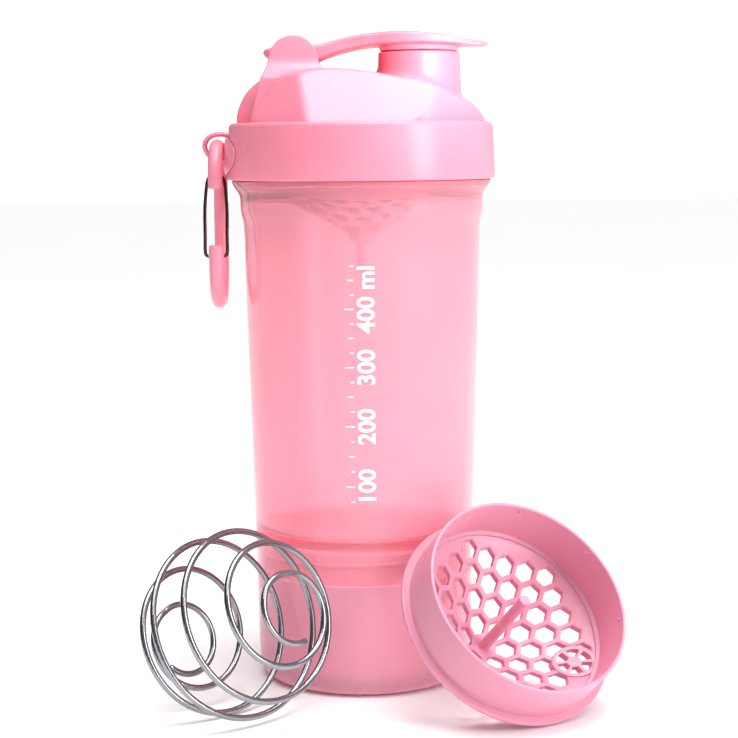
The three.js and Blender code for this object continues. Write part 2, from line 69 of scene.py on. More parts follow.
# ------------------------------------------------------------------ sizes and colours
class ShakerSizes(bpy.types.PropertyGroup):
    round_steps: IntProperty(
        name="Round steps", description="Sides of the large round pieces",
        default=120, min=24, max=256)
    tumbler_wall: FloatProperty(
        name="Tumbler wall", description="Thickness of the tumbler's wall",
        default=0.002, min=0.001, max=0.004, unit='LENGTH')
    hex_pitch: FloatProperty(
        name="Mesh pitch", description="Distance between the centres of two strainer holes",
        default=0.0077, min=0.004, max=0.012, unit='LENGTH')
    web_width: FloatProperty(
        name="Web width", description="Width of the plastic between two strainer holes",
        default=0.0017, min=0.0008, max=0.003, unit='LENGTH')
    web_depth: FloatProperty(
        name="Web depth", description="Depth of the strainer's webs",
        default=0.0024, min=0.001, max=0.004, unit='LENGTH')
    whisk_radius: FloatProperty(
        name="Whisk radius", description="Radius of the whisk ball at the wire's middle",
        default=0.0315, min=0.02, max=0.04, unit='LENGTH')
    whisk_wire: FloatProperty(
        name="Whisk wire", description="Radius of the whisk's wire",
        default=0.0011, min=0.0006, max=0.002, unit='LENGTH')
    gate_wire: FloatProperty(
        name="Gate wire", description="Radius of the clip gate's wire",
        default=0.0006, min=0.0004, max=0.001, unit='LENGTH')
    numeral_height: FloatProperty(
        name="Numeral height", description="Height of the scale's printed numerals",
        default=0.0062, min=0.003, max=0.01, unit='LENGTH')


class ShakerColours(bpy.types.PropertyGroup):
    tumbler: FloatVectorProperty(
        name="Tumbler", description="Tint of the clear tumbler",
        subtype='COLOR', size=3, default=(1.0, 0.60, 0.68), min=0, max=1)
    compartment: FloatVectorProperty(
        name="Compartment", description="Tint of the milky compartment",
        subtype='COLOR', size=3, default=(1.0, 0.50, 0.62), min=0, max=1)
    shell: FloatVectorProperty(
        name="Shell", description="Colour of the lid, cap, loop and clip",
        subtype='COLOR', size=3, default=(0.95, 0.28, 0.385), min=0, max=1)
    strainer: FloatVectorProperty(
        name="Strainer", description="Colour of both strainers",
        subtype='COLOR', size=3, default=(0.70, 0.29, 0.40), min=0, max=1)
    seal: FloatVectorProperty(
        name="Seal", description="Colour of the soft seals",
        subtype='COLOR', size=3, default=(0.86, 0.32, 0.42), min=0, max=1)
    steel: FloatVectorProperty(
        name="Steel", description="Colour of the whisk's polished wire",
        subtype='COLOR', size=3, default=(0.30, 0.31, 0.33), min=0, max=1)
    gate: FloatVectorProperty(
        name="Gate wire", description="Colour of the clip gate's dark wire",
        subtype='COLOR', size=3, default=(0.09, 0.05, 0.05), min=0, max=1)
    ink: FloatVectorProperty(
        name="Ink", description="Colour of the printed scale",
        subtype='COLOR', size=3, default=(0.95, 0.93, 0.94), min=0, max=1)
    floor: FloatVectorProperty(
        name="Floor", description="Colour of the studio floor",
        subtype='COLOR', size=3, default=(0.99, 0.99, 0.99), min=0, max=1)


def sizes():
    return bpy.context.scene.shaker_sizes


def colours():
    return bpy.context.scene.shaker_colours


# ------------------------------------------------------------------ materials
def mottle(nodes, links, place, scale, detail):
    """A soft noise over the object's own coordinates."""
    noise = nodes.new("ShaderNodeTexNoise")
    noise.inputs["Scale"].default_value = scale
    noise.inputs["Detail"].default_value = detail
    links.new(place.outputs["Object"], noise.inputs["Vector"])
    return noise.outputs["Fac"]


def spread(nodes, links, source, low, high):
    """Brings a 0 to 1 value to between low and high."""
    ramp = nodes.new("ShaderNodeMapRange")
    ramp.inputs["To Min"].default_value = low
    ramp.inputs["To Max"].default_value = high
    links.new(source, ramp.inputs["Value"])
    return ramp.outputs["Result"]


def tinted(nodes, links, source, first, second):
    """A colour that drifts between two shades."""
    ramp = nodes.new("ShaderNodeValToRGB")
    ramp.color_ramp.elements[0].position = 0.3
    ramp.color_ramp.elements[0].color = (*first, 1)
    ramp.color_ramp.elements[1].position = 0.7
    ramp.color_ramp.elements[1].color = (*second, 1)
    links.new(source, ramp.inputs["Fac"])
    return ramp.outputs["Color"]


def shade(colour, factor):
    """A colour made lighter or darker."""
    return tuple(min(1.0, channel * factor) for channel in colour)


def roughen(nodes, links, shader, source, strength, distance):
    """Raises a fine relief on the surface."""
    bump = nodes.new("ShaderNodeBump")
    bump.inputs["Strength"].default_value = strength
    bump.inputs["Distance"].default_value = distance
    links.new(source, bump.inputs["Height"])
    links.new(bump.outputs["Normal"], shader.inputs["Normal"])


def surfaced(name, tone, flow, shades, grain, rough):
    """A material whose tone drifts with one noise and whose roughness varies with another.

    flow and grain give each noise's scale and detail. shades and rough give the two ends.
    """
    material = bpy.data.materials.new(name)
    material.use_nodes = True
    nodes, links = material.node_tree.nodes, material.node_tree.links
    shader = nodes["Principled BSDF"]
    place = nodes.new("ShaderNodeTexCoord")
    drift = mottle(nodes, links, place, *flow)
    speckle = mottle(nodes, links, place, *grain)
    links.new(tinted(nodes, links, drift, shade(tone, shades[0]), shade(tone, shades[1])),
              shader.inputs["Base Color"])
    links.new(spread(nodes, links, speckle, *rough), shader.inputs["Roughness"])
    return material, nodes, links, shader, speckle


def moulded_plastic(name, colour, rough, scatter):
    """Opaque moulded plastic: faint flow marks, a fine satin grain and a soft gloss."""
    material, nodes, links, shader, grain = surfaced(
        name, colour, (35.0, 3.0), (0.97, 1.03), (1400.0, 2.0), rough)
    roughen(nodes, links, shader, grain, 0.12, 0.0002)
    shader.inputs["IOR"].default_value = 1.49
    shader.inputs["Subsurface Weight"].default_value = scatter
    shader.inputs["Subsurface Scale"].default_value = 0.004
    shader.inputs["Subsurface Radius"].default_value = (1.0, 0.35, 0.45)
    return material


def clear_plastic(name, colour, transmission, rough, depth=0.0):
    """Tinted translucent plastic with a slight haze. With a depth, thick walls look deeper."""
    material, nodes, links, shader, _ = surfaced(
        name, colour, (22.0, 3.0), (0.97, 1.03), (160.0, 2.0), rough)
    shader.inputs["Transmission Weight"].default_value = transmission
    shader.inputs["IOR"].default_value = 1.28
    if depth:
        body = nodes.new("ShaderNodeVolumeAbsorption")
        body.inputs["Color"].default_value = (1.0, 0.42, 0.56, 1.0)
        body.inputs["Density"].default_value = depth
        links.new(body.outputs["Volume"], nodes["Material Output"].inputs["Volume"])
    return material


def soft_rubber(name, colour):
    """Matt silicone with a faint dusting."""
    material, nodes, links, shader, dust = surfaced(
        name, colour, (60.0, 3.0), (0.96, 1.04), (900.0, 4.0), (0.55, 0.75))
    roughen(nodes, links, shader, dust, 0.2, 0.0002)
    return material


def drawn_wire(name, colour, rough):
    """Drawn metal wire: a mirror finish with faint drawing marks."""
    material, nodes, links, shader, marks = surfaced(
        name, colour, (60.0, 2.0), (0.92, 1.06), (700.0, 3.0), rough)
    roughen(nodes, links, shader, marks, 0.05, 0.0001)
    shader.inputs["Metallic"].default_value = 1.0
    return material


def printed_ink(name, colour):
    """Pale ink with a faint speckle."""
    speckle = (1200.0, 3.0)
    return surfaced(name, colour, speckle, (0.97, 1.0), speckle, (0.35, 0.5))[0]


def pale_floor(name, colour):
    """Matt pale paint for the studio floor."""
    cloud = (3.0, 2.0)
    return surfaced(name, colour, cloud, (0.995, 1.0), cloud, (0.7, 0.8))[0]


# Each finish: its material's name, its colour setting, the function that makes it, and the rest
# of what that function takes.
FINISHES = {
    "clear": ("tumbler_tint", "tumbler", clear_plastic, 0.74, (0.09, 0.14), 90.0),
    "base": ("compartment_tint", "compartment", clear_plastic, 0.45, (0.12, 0.18)),
    "shell": ("shell_satin", "shell", moulded_plastic, (0.24, 0.34), 0.15),
    "strainer": ("strainer_satin", "strainer", moulded_plastic, (0.28, 0.38), 0.2),
    "seal": ("soft_seal_silicone", "seal", soft_rubber),
    "steel": ("whisk_steel", "steel", drawn_wire, (0.08, 0.18)),
    "gate": ("gate_dark_steel", "gate", drawn_wire, (0.2, 0.32)),
    "ink": ("scale_ink", "ink", printed_ink),
    "floor": ("studio_floor_paint", "floor", pale_floor),
}


def finish_of(key):
    """The finish with that key, made the first time it is asked for."""
    name, setting, make, *rest = FINISHES[key]
    made = bpy.data.materials.get(name)
    return made or make(name, tuple(getattr(colours(), setting)), *rest)


# ------------------------------------------------------------------ shaping
def revolve(outline, steps=None):
    """Spins an outline of (radius, height[, rounding]) round the Z axis into a closed body."""
    bm = bmesh.new()
    verts = [bm.verts.new((point[0], 0, point[1])) for point in outline]
    pairs = list(zip(verts, verts[1:]))
    if outline[0][0] or outline[-1][0]:
        pairs.append((verts[-1], verts[0]))
    for pair in pairs:
        bm.edges.new(pair)
    for vert, point in zip(verts, outline):
        if len(point) > 2:
            bmesh.ops.bevel(bm, geom=[vert], offset=point[2], segments=4, profile=0.5,
                            affect='VERTICES', offset_type='OFFSET', material=-1)
    bmesh.ops.spin(bm, geom=bm.verts[:] + bm.edges[:], cent=(0, 0, 0), axis=(0, 0, 1),
                   angle=2 * math.pi, steps=steps or sizes().round_steps, use_merge=True)
    bmesh.ops.remove_doubles(bm, verts=bm.verts, dist=1e-4)
    return bm


def loft(rings):
    """Skins a closed body over rings of points, each with the same number of points."""
    bm = bmesh.new()
    ring = [bm.verts.new(point) for point in rings[0]]
    cap = bm.faces.new(ring)
    for places in rings[1:]:
        grown = bmesh.ops.extrude_face_region(bm, geom=[cap])["geom"]
        fresh = {item for item in grown if isinstance(item, bmesh.types.BMVert)}
        cap = next(item for item in grown if isinstance(item, bmesh.types.BMFace))
        ring = [next(edge.other_vert(vert) for edge in vert.link_edges
                     if edge.other_vert(vert) in fresh) for vert in ring]
        for vert, point in zip(ring, places):
            vert.co = point
    return bm


def sweep(path, normals, half_a, half_b, sides=16, end_round=0.0):
    """A bar with an oval section along a path. half_a lies along the normals."""
    last = len(path) - 1
    stations = []
    for i, point in enumerate(path):
        ahead = (path[min(i + 1, last)] - path[max(i - 1, 0)]).normalized()
        stations.append((point, ahead, normals[i].normalized(), 0.0))
    if end_round:
        first, final = stations[0], stations[-1]
        before, after = [], []
        for turn in (90, 60, 30, 0):
            angle = math.radians(turn)
            back = end_round * (1 - math.sin(angle))
            pinch = end_round * (1 - math.cos(angle))
            before.append((first[0] + first[1] * back, first[1], first[2], pinch))
            after.append((final[0] - final[1] * back, final[1], final[2], pinch))
        inner = [s for s in stations[1:-1] if (s[0] - first[0]).length > end_round * 1.05
                 and (s[0] - final[0]).length > end_round * 1.05]
        stations = before + inner + after[::-1]
    rings = []
    for point, ahead, normal, pinch in stations:
        across = ahead.cross(normal).normalized()
        flat = across.cross(ahead).normalized()
        ring = []
        for k in range(sides):
            angle = (k + 0.5) / sides * 2 * math.pi
            ring.append(point + flat * (half_a - pinch) * math.cos(angle)
                        + across * (half_b - pinch) * math.sin(angle))
        rings.append(ring)
    return loft(rings)


def curve_through(points, per_span):
    """A smooth run of points through the given ones (Catmull-Rom)."""
    points = [Vector(point) for point in points]
    ends = [points[0] * 2 - points[1]] + points + [points[-1] * 2 - points[-2]]
    run = []
    for a, b, c, d in zip(ends, ends[1:], ends[2:], ends[3:]):
        for k in range(per_span):
            t = k / per_span
            run.append(0.5 * (2 * b + (c - a) * t + (2 * a - 5 * b + 4 * c - d) * t ** 2
                              + (3 * b - a - 3 * c + d) * t ** 3))
    return run + [points[-1]]


def along(table, x):
    """The value at x in a table of (x, value) that goes up in x."""
    if x <= table[0][0]:
        return table[0][1]
    for (x0, v0), (x1, v1) in zip(table, table[1:]):
        if x <= x1:
            return v0 + (v1 - v0) * (x - x0) / (x1 - x0)
    return table[-1][1]


def soften(depth, blend):
    """How far a point goes back that lies depth past a surface, with a fillet of blend."""
    if depth <= -blend:
        return 0.0
    if depth >= blend:
        return depth
    return (depth + blend) ** 2 / (4 * blend)


def plate(outline, thickness):
    """A flat plate with an outline in X and Z, from y = 0 to y = thickness."""
    bm = bmesh.new()
    face = bm.faces.new([bm.verts.new((x, 0, z)) for x, z in outline])
    grown = bmesh.ops.extrude_face_region(bm, geom=[face])["geom"]
    verts = [item for item in grown if isinstance(item, bmesh.types.BMVert)]
    bmesh.ops.translate(bm, vec=(0, thickness, 0), verts=verts)
    return bm


def round_edges(bm, width, angle=35, segments=3):
    """Rounds every edge that turns by more than angle."""
    bm.normal_update()
    sharp = [edge for edge in bm.edges if edge.is_manifold
             and edge.calc_face_angle(0) > math.radians(angle)]
    bmesh.ops.bevel(bm, geom=sharp, offset=width, segments=segments, profile=0.5,
                    affect='EDGES', offset_type='OFFSET', material=-1, clamp_overlap=True)


def arc(x, z, radius, start, end, steps):
    """Points of an arc in degrees."""
    turns = [math.radians(start + (end - start) * k / steps) for k in range(steps + 1)]
    return [(x + radius * math.cos(turn), z + radius * math.sin(turn)) for turn in turns]


def join(parts):
    """Brings several bodies into one bmesh."""
    whole = bmesh.new()
    for part in parts:
        carrier = bpy.data.meshes.new("carrier")
        bmesh.ops.recalc_face_normals(part, faces=part.faces)
        part.to_mesh(carrier)
        part.free()
        whole.from_mesh(carrier)
        bpy.data.meshes.remove(carrier)
    return whole


def moved(bm, matrix):
    """The same body, moved by a matrix."""
    bmesh.ops.transform(bm, matrix=matrix, verts=bm.verts)
    return bm


THREAD_PITCH = 5.0
THREAD_STEPS = 72                      # in one turn


def thread_ridge(radius, low, turns, height):
    """A screw thread's ridge round the Z axis."""
    path, normals = [], []
    for k in range(round(THREAD_STEPS * turns) + 1):
        share = k / THREAD_STEPS
        spoke = Vector((math.cos(share * 2 * math.pi), math.sin(share * 2 * math.pi), 0))
        path.append(spoke * radius + Vector((0, 0, low + THREAD_PITCH * share)))
        normals.append(spoke)
    return sweep(path, normals, height, height * 1.1, 8, end_round=height * 0.6)


def finish_piece(bm, name, body, finish, nodes=(), crease=38):
    """Turns a bmesh in millimetres into a piece that rides on a body of the frame."""
    bmesh.ops.scale(bm, vec=(MM, MM, MM), verts=bm.verts)
    mesh = bpy.data.meshes.new(name)
    bm.to_mesh(mesh)
    bm.free()
    mesh.polygons.foreach_set("use_smooth", [True] * len(mesh.polygons))
    mesh.set_sharp_from_angle(angle=math.radians(crease))
    mesh.materials.append(finish_of(finish))
    piece = bpy.data.objects.new(name, mesh)
    bpy.context.collection.objects.link(piece)
    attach(piece, body)
    if nodes:
        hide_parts(*nodes)
    return piece


# ------------------------------------------------------------------ storage compartment
class SHAKER_OT_compartment(bpy.types.Operator):
    """Adds the powder compartment that screws into the tumbler's skirt"""
    bl_idname = "shaker.add_compartment"
    bl_label = "Compartment"

    def execute(self, context):
        cup = revolve([
            (0, 1.2), (28.5, 1.2, 0.8), (30.0, 0.0, 0.8), (35.6, 0.0, 1.6), (38.6, 2.6, 2.2),
            (39.1, 8.0, 2.0), (39.8, SEAM_Z - 0.3, 0.3), (36.9, SEAM_Z - 0.3, 0.3),
            (36.9, 51.6, 0.6), (34.7, 51.6, 0.6), (34.7, 10.0, 4.0), (31.0, 3.4, 2.5), (0, 3.0)])
        ridge = thread_ridge(36.7, 43.5, 1.1, 0.9)
        finish_piece(join([cup, ridge]), "compartment_cup", "compartment", "base",
                     ["storage_compartment"])
        return {'FINISHED'}


# ------------------------------------------------------------------ tumbler
TUMBLER_OUTSIDE = [(SEAM_Z, 39.8), (166.0, 42.6), (170.0, 43.8), (175.6, 43.8)]


class SHAKER_OT_tumbler(bpy.types.Operator):
    """Adds the clear tumbler with its skirt, small step, collar and threaded neck"""
    bl_idname = "shaker.add_tumbler"
    bl_label = "Tumbler"

    def execute(self, context):
        wall = sizes().tumbler_wall / MM
        body = revolve([
            (0, TUMBLER_FLOOR_Z - 2.0), (38.2, TUMBLER_FLOOR_Z - 2.0, 1.6), (38.2, SEAM_Z, 0.4),
            (39.8, SEAM_Z, 0.4), (42.6, 166.0, 2.0), (43.8, 170.0, 2.0), (43.8, 175.6, 1.6),
            (46.6, 180.0, 0.8), (46.8, 181.2, 0.4), (42.0, 181.2, 0.3), (42.0, NECK_TOP, 0.5),
            (40.1, NECK_TOP, 0.5), (40.1, LEDGE_Z, 0.3), (38.6, LEDGE_Z, 0.3), (38.6, 179.0, 0.4),
            (43.8 - wall, 175.0, 1.0), (43.8 - wall, 170.0, 1.6), (42.6 - wall, 166.0, 1.6),
            (40.2 - wall, TUMBLER_FLOOR_Z + 1.0, 3.0), (0, TUMBLER_FLOOR_Z)])
        ridge = thread_ridge(41.9, 186.0, 1.2, 0.9)
        cup = finish_piece(join([body, ridge]), "tumbler_cup", "tumbler", "clear",
                           ["tumbler"])
        # Lamps reach the pieces inside through the clear wall.
        cup.visible_shadow = False
        return {'FINISHED'}


# ------------------------------------------------------------------ printed scale
INK_THICK = 0.05
LEVEL_STEP = 0.05                      # of height, when the tumbler is filled up to a volume
NUMERALS_X = 1.6
TICKS_X = -2.9                         # right ends of the ticks
TICK_WIDTH = 0.45


def level_of(volume):
    """Height at which the tumbler holds that many millilitres."""
    wall = sizes().tumbler_wall / MM
    height, held = TUMBLER_FLOOR_Z, 0.0
    while held < volume * 1000:
        inside = along(TUMBLER_OUTSIDE, height) - wall
        held += math.pi * inside ** 2 * LEVEL_STEP
        height += LEVEL_STEP
    return height


def wrapped(bm, lift):
    """Lays a flat drawing in X and Z on the front of the tumbler."""
    for vert in bm.verts:
        radius = along(TUMBLER_OUTSIDE, vert.co.z) + lift - vert.co.y
        turn = vert.co.x / radius
        vert.co = Vector((radius * math.sin(turn), -radius * math.cos(turn), vert.co.z))
    return bm


def printed_text(words, x, z, height):
    """Numerals that read upwards, as a thin flat body."""
    curve = bpy.data.curves.new("numerals", 'FONT')
    curve.body = words
    curve.size = height * 1.36
    curve.offset = height * 0.03
    curve.align_x = 'CENTER'
    curve.align_y = 'CENTER'
    curve.resolution_u = 4
    holder = bpy.data.objects.new("numerals", curve)
    bpy.context.collection.objects.link(holder)
    flat = bpy.data.meshes.new_from_object(holder.evaluated_get(
        bpy.context.evaluated_depsgraph_get()))
    bpy.data.objects.remove(holder)
    bpy.data.curves.remove(curve)
    bm = bmesh.new()
    bm.from_mesh(flat)
    bpy.data.meshes.remove(flat)
    bmesh.ops.remove_doubles(bm, verts=bm.verts, dist=1e-4)
    upwards = Matrix.Rotation(math.radians(90), 4, 'X') @ Matrix.Rotation(math.radians(90), 4, 'Z')
    moved(bm, Matrix.Translation((x, 0, z)) @ upwards)
    longest = [edge for edge in bm.edges if edge.calc_length() > 1.2]
    bmesh.ops.subdivide_edges(bm, edges=longest, cuts=2)
    grown = bmesh.ops.extrude_face_region(bm, geom=bm.faces[:])["geom"]
    verts = [item for item in grown if isinstance(item, bmesh.types.BMVert)]
    bmesh.ops.translate(bm, vec=(0, INK_THICK, 0), verts=verts)
    return bm


def printed_tick(reach, z):
    """A short level tick, in spans that can follow the tumbler's curve."""
    steps = max(1, round(reach))
    half = TICK_WIDTH / 2
    section = ((0, -half), (INK_THICK, -half), (INK_THICK, half), (0, half))
    return loft([[(TICKS_X - reach + reach * k / steps, y, z + h) for y, h in section]
                 for k in range(steps + 1)])


class SHAKER_OT_scale(bpy.types.Operator):
    """Prints a plain millilitre scale up the front of the tumbler"""
    bl_idname = "shaker.add_scale"
    bl_label = "Millilitre Scale"

    def execute(self, context):
        height = sizes().numeral_height / MM
        parts = []
        for volume in (100, 200, 300):
            parts.append(printed_text(str(volume), NUMERALS_X, level_of(volume), height))
        unit_room = 3.4                # so that the last numerals still centre on their tick
        parts.append(printed_text("400 ml", NUMERALS_X, level_of(400) + unit_room, height))
        for volume in range(75, 476, 25):
            reach = 3.2 if volume % 100 == 0 else 2.2 if volume % 50 == 0 else 1.4
            parts.append(printed_tick(reach, level_of(volume)))
        finish_piece(wrapped(join(parts), INK_THICK), "measure_scale", "tumbler",
                     "ink")
        return {'FINISHED'}


# ------------------------------------------------------------------ lid
# The round dome's outline and the deck's slope from back to front, each without its facets.
DOME = [(44.6, 200.3), (44.5, 202.4), (44.2, 205.4), (42.9, 209.0), (41.0, 212.3),
        (37.2, 216.0), (32.6, 218.8), (26.0, 220.8), (14.0, 221.8), (0.0, 222.0)]
DECK = [(-50.0, 213.0), (-36.0, 217.2), (-27.6, 219.2), (-18.3, 220.4), (-12.3, 220.4),
        (-3.0, 219.7), (5.0, 218.6), (17.2, 216.2), (23.7, 214.4), (30.0, 212.0),
        (36.9, 209.2), (39.7, 207.4), (42.0, 205.2), (44.0, 203.0), (50.0, 198.0)]
EAR_EDGE = [(201.6, -38.9), (209.2, -36.9), (217.4, -34.6), (221.6, -32.6)]
EAR_INNER_Y = 8.6
EAR_OUTER_Y = 15.5
EAR_ROOT_Z = RING_TOP - 1
LEVER_SPACE = 11.4                     # radius of the slot that clears the lever
LEVER_SPACE_Y = 11.5                   # and its half width
LID_WALL = 2.0
FACETS = [(Vector((0, 40.2, RING_TOP)), Vector((0, 1, 0.8))),
          (Vector((-27.45, 32.53, RING_TOP)), Vector((-0.645, 0.764, 0.49)))]


def shaped_dome(point, inset):
    """Brings a point of the round dome to the lid's facets, sloping deck and lever slot."""
    side = 1 if point.y >= 0 else -1
    place = Vector((point.x, abs(point.y), point.z))
    for foot, outward in FACETS:
        normal = outward.normalized()
        place -= normal * soften((place - foot).dot(normal) + inset, 1.1)
    if place.z > 200.4:
        shoulder = min(1.0, max(0.0, (place.y - 9.4 + inset) / 1.0))
        edge = along(EAR_EDGE, place.z) + inset
        place.x += shoulder * soften(edge - place.x, 0.8)
        place.z -= soften(place.z - along(DECK, place.x) + inset, 1.4)
        reach = LEVER_SPACE + inset
        away = place.x - PIVOT.x
        if abs(away) < reach and place.y < LEVER_SPACE_Y + inset:
            slot = min(1.0, (LEVER_SPACE_Y + inset - place.y) / 1.2)
            depth = place.z - (PIVOT.z - math.sqrt(reach ** 2 - away ** 2))
            place.z -= slot * soften(depth, 0.5)
    place.y *= side
    return place


def dome_sheet(inset):
    """One face of the dome's shell, brought in by inset."""
    run = curve_through([(max(0.0, r - inset * min(1.0, (223.0 - z) / 10)), 0,
                          z - inset * min(1.0, max(0.0, (z - 205.0) / 12.0)))
                         for r, z in DOME], 7)
    bm = bmesh.new()
    verts = [bm.verts.new(point) for point in run]
    for pair in zip(verts, verts[1:]):
        bm.edges.new(pair)
    bmesh.ops.spin(bm, geom=bm.verts[:] + bm.edges[:], cent=(0, 0, 0), axis=(0, 0, 1),
                   angle=2 * math.pi, steps=240, use_merge=True)
    bmesh.ops.remove_doubles(bm, verts=bm.verts, dist=1e-4)
    for vert in bm.verts:
        vert.co = shaped_dome(vert.co, inset)
    return bm


def lid_dome():
    """The faceted dome as a shell, open under the spout."""
    bm = join([dome_sheet(0.0), dome_sheet(LID_WALL)])
    spout = Vector((SPOUT_X, 0))
    under_spout = [face for face in bm.faces
                   if all((vert.co.xy - spout).length < 14.2 for vert in face.verts)]
    bmesh.ops.delete(bm, geom=under_spout, context='FACES')
    rims = [edge for edge in bm.edges if edge.is_boundary]
    holes = [edge for edge in rims if (edge.verts[0].co.xy - spout).length < 16.0]
    feet = [edge for edge in rims if edge not in set(holes)]
    bmesh.ops.bridge_loops(bm, edges=feet)
    bmesh.ops.bridge_loops(bm, edges=holes)
    return bm


def ear(side):
    """One of the two ears that carry the flip cap's hinge, with a flared foot."""
    outline = [(-38.9, EAR_ROOT_Z), (-36.9, 209.2), (-34.6, 217.4), (-32.7, 221.4)]
    outline += arc(-23.5, 223.4, 8.6, 172, 8, 22)
    outline += [(-14.4, 222.4), (-13.2, 220.9), (-11.2, 219.6), (-8.8, 218.6), (-6.0, 217.6),
                (-6.0, EAR_ROOT_Z)]
    bm = plate(outline, EAR_OUTER_Y - EAR_INNER_Y)
    for k in range(10):
        bmesh.ops.bisect_plane(bm, geom=bm.verts[:] + bm.edges[:] + bm.faces[:],
                               plane_co=(0, 0, 216.0 + k), plane_no=(0, 0, 1))
    round_edges(bm, 1.3, 40, 4)
    for vert in bm.verts:
        low = max(0.0, 225.5 - vert.co.z)
        share = vert.co.y / (EAR_OUTER_Y - EAR_INNER_Y)
        vert.co.y += min(6.0, 0.085 * low ** 2) * max(0.0, share)
    moved(bm, Matrix.Translation((0, EAR_INNER_Y, 0)))
    if side < 0:
        bmesh.ops.scale(bm, vec=(1, -1, 1), verts=bm.verts)
    return bm


def spout_tube():
    """The spout, with a foot that flares into the deck."""
    heights = [203.0 + k * 1.3 for k in range(18)]
    outside = [(15.4 - 0.8 * (z - 203.0) / 22.1, z) for z in heights]
    bm = revolve(outside + [(14.6, 226.4, 0.6), (12.9, 226.4, 0.6), (12.9, 203.0)], 96)
    for vert in bm.verts:
        spoke = Vector((vert.co.x, vert.co.y, 0))
        height = vert.co.z - along(DECK, vert.co.x + SPOUT_X)
        if spoke.length > 14.0 and height < 3.2:
            flare = (3.2 - max(height, -1.0)) ** 2 / 6.5
            vert.co += spoke.normalized() * flare
    return moved(bm, Matrix.Translation((SPOUT_X, 0, 0)))


class SHAKER_OT_lid(bpy.types.Operator):
    """Adds the screw lid: skirt, faceted dome, hinge ears and spout"""
    bl_idname = "shaker.add_lid"
    bl_label = "Lid"

    def execute(self, context):
        skirt = revolve([
            (44.0, RING_BOTTOM, 0.3), (48.3, RING_BOTTOM, 0.6), (47.4, RING_TOP, 1.6), (41.1, RING_TOP, 0.2),
            (41.1, SHOULDER_Z, 0.2), (44.0, SHOULDER_Z, 0.2)])
        ridge = thread_ridge(44.1, 184.9, 1.2, 0.8)
        finish_piece(join([skirt, ridge, lid_dome(), ear(1), ear(-1), spout_tube()]),
                     "lid_shell", "lid", "shell", ["lid"], crease=50)
        pin = moved(revolve([(0, -11.4), (1.6, -11.4, 0.3), (1.6, 11.4, 0.3), (0, 11.4)], 32),
                    Matrix.Translation(PIVOT) @ Matrix.Rotation(math.radians(90), 4, 'X'))
        finish_piece(join([pin]), "hinge_trunnion", "lid", "shell", ["hinge_pin"])
        return {'FINISHED'}


# ------------------------------------------------------------------ flip cap
CAP_STATIONS = [
    # x, half width, underside, top
    (-34.4, 5.0, 225.9, 227.0), (-33.9, 6.2, 225.0, 227.6), (-32.4, 6.9, 224.2, 228.2),
    (-29.5, 7.2, 223.2, 228.6), (-24.2, 7.7, 221.4, 228.8), (-19.0, 8.2, 222.0, 229.0),
    (-15.0, 8.45, 223.2, 229.3), (-10.3, 8.85, 224.9, 230.3), (-5.0, 9.55, 226.5, 231.7),
    (0.0, 10.4, 227.6, 232.6), (5.0, 11.9, 228.3, 233.1), (9.5, 14.2, 228.4, 233.4),
    (13.0, 15.8, 228.4, 233.5), (17.0, 16.85, 228.4, 233.4), (21.1, 17.2, 228.4, 233.15),
    (27.0, 16.9, 228.4, 232.6), (32.0, 15.5, 228.4, 231.8), (37.0, 12.6, 228.4, 230.9),
    (40.0, 9.6, 228.4, 230.4), (43.7, 5.6, 228.35, 229.9), (45.1, 2.6, 228.4, 229.6),
    (45.7, 0.6, 228.8, 229.2),
]


def cap_lever():
    """The lever and round cap as one smooth body, skinned over rounded sections."""
    run = curve_through([(x, w, low) for x, w, low, high in CAP_STATIONS], 6)
    tops = curve_through([(x, w, high) for x, w, low, high in CAP_STATIONS], 6)
    rings = []
    for low, high in zip(run, tops):
        width = max(0.3, low.y)
        middle = (low.z + high.z) / 2
        half = max(0.15, (high.z - low.z) / 2)
        ring = []
        for k in range(56):
            angle = (k + 0.5) / 56 * 2 * math.pi
            c, s = math.cos(angle), math.sin(angle)
            ring.append((low.x, width * math.copysign(abs(c) ** 0.42, c),
                         middle + half * math.copysign(abs(s) ** 0.42, s)))
        rings.append(ring)
    return loft(rings)


class SHAKER_OT_flip_cap(bpy.types.Operator):
    """Adds the flip cap with its lever, hinge barrel and rim over the spout"""
    bl_idname = "shaker.add_flip_cap"
    bl_label = "Flip Cap"

    def execute(self, context):
        barrel = moved(revolve([(0, -8.2), (4.1, -8.2, 0.6), (4.1, 8.2, 0.6), (0, 8.2)], 48),
                       Matrix.Translation(PIVOT) @ Matrix.Rotation(math.radians(90), 4, 'X'))
        rim = moved(revolve([(0, 226.75), (14.0, 226.75, 0.4), (14.5, 229.2), (0, 229.2)], 96),
                    Matrix.Translation((SPOUT_X, 0, 0)))
        finish_piece(join([cap_lever(), barrel, rim]), "flip_cap_shell", "cap",
                     "shell", ["flip_cap"], crease=42)
        plug = moved(revolve([
            (0, 223.9), (9.6, 223.9, 0.5), (10.2, 223.6, 0.3), (11.7, 223.6, 0.8),
            (12.4, 224.6, 0.3), (12.0, 225.0, 0.2), (12.0, 225.6, 0.2), (12.4, 226.0, 0.2),
            (12.4, 226.5, 0.2), (0, 226.5)], 72), Matrix.Translation((SPOUT_X, 0, 0)))
        finish_piece(join([plug]), "spout_plug", "cap", "seal", ["cap_seal"])
        return {'FINISHED'}


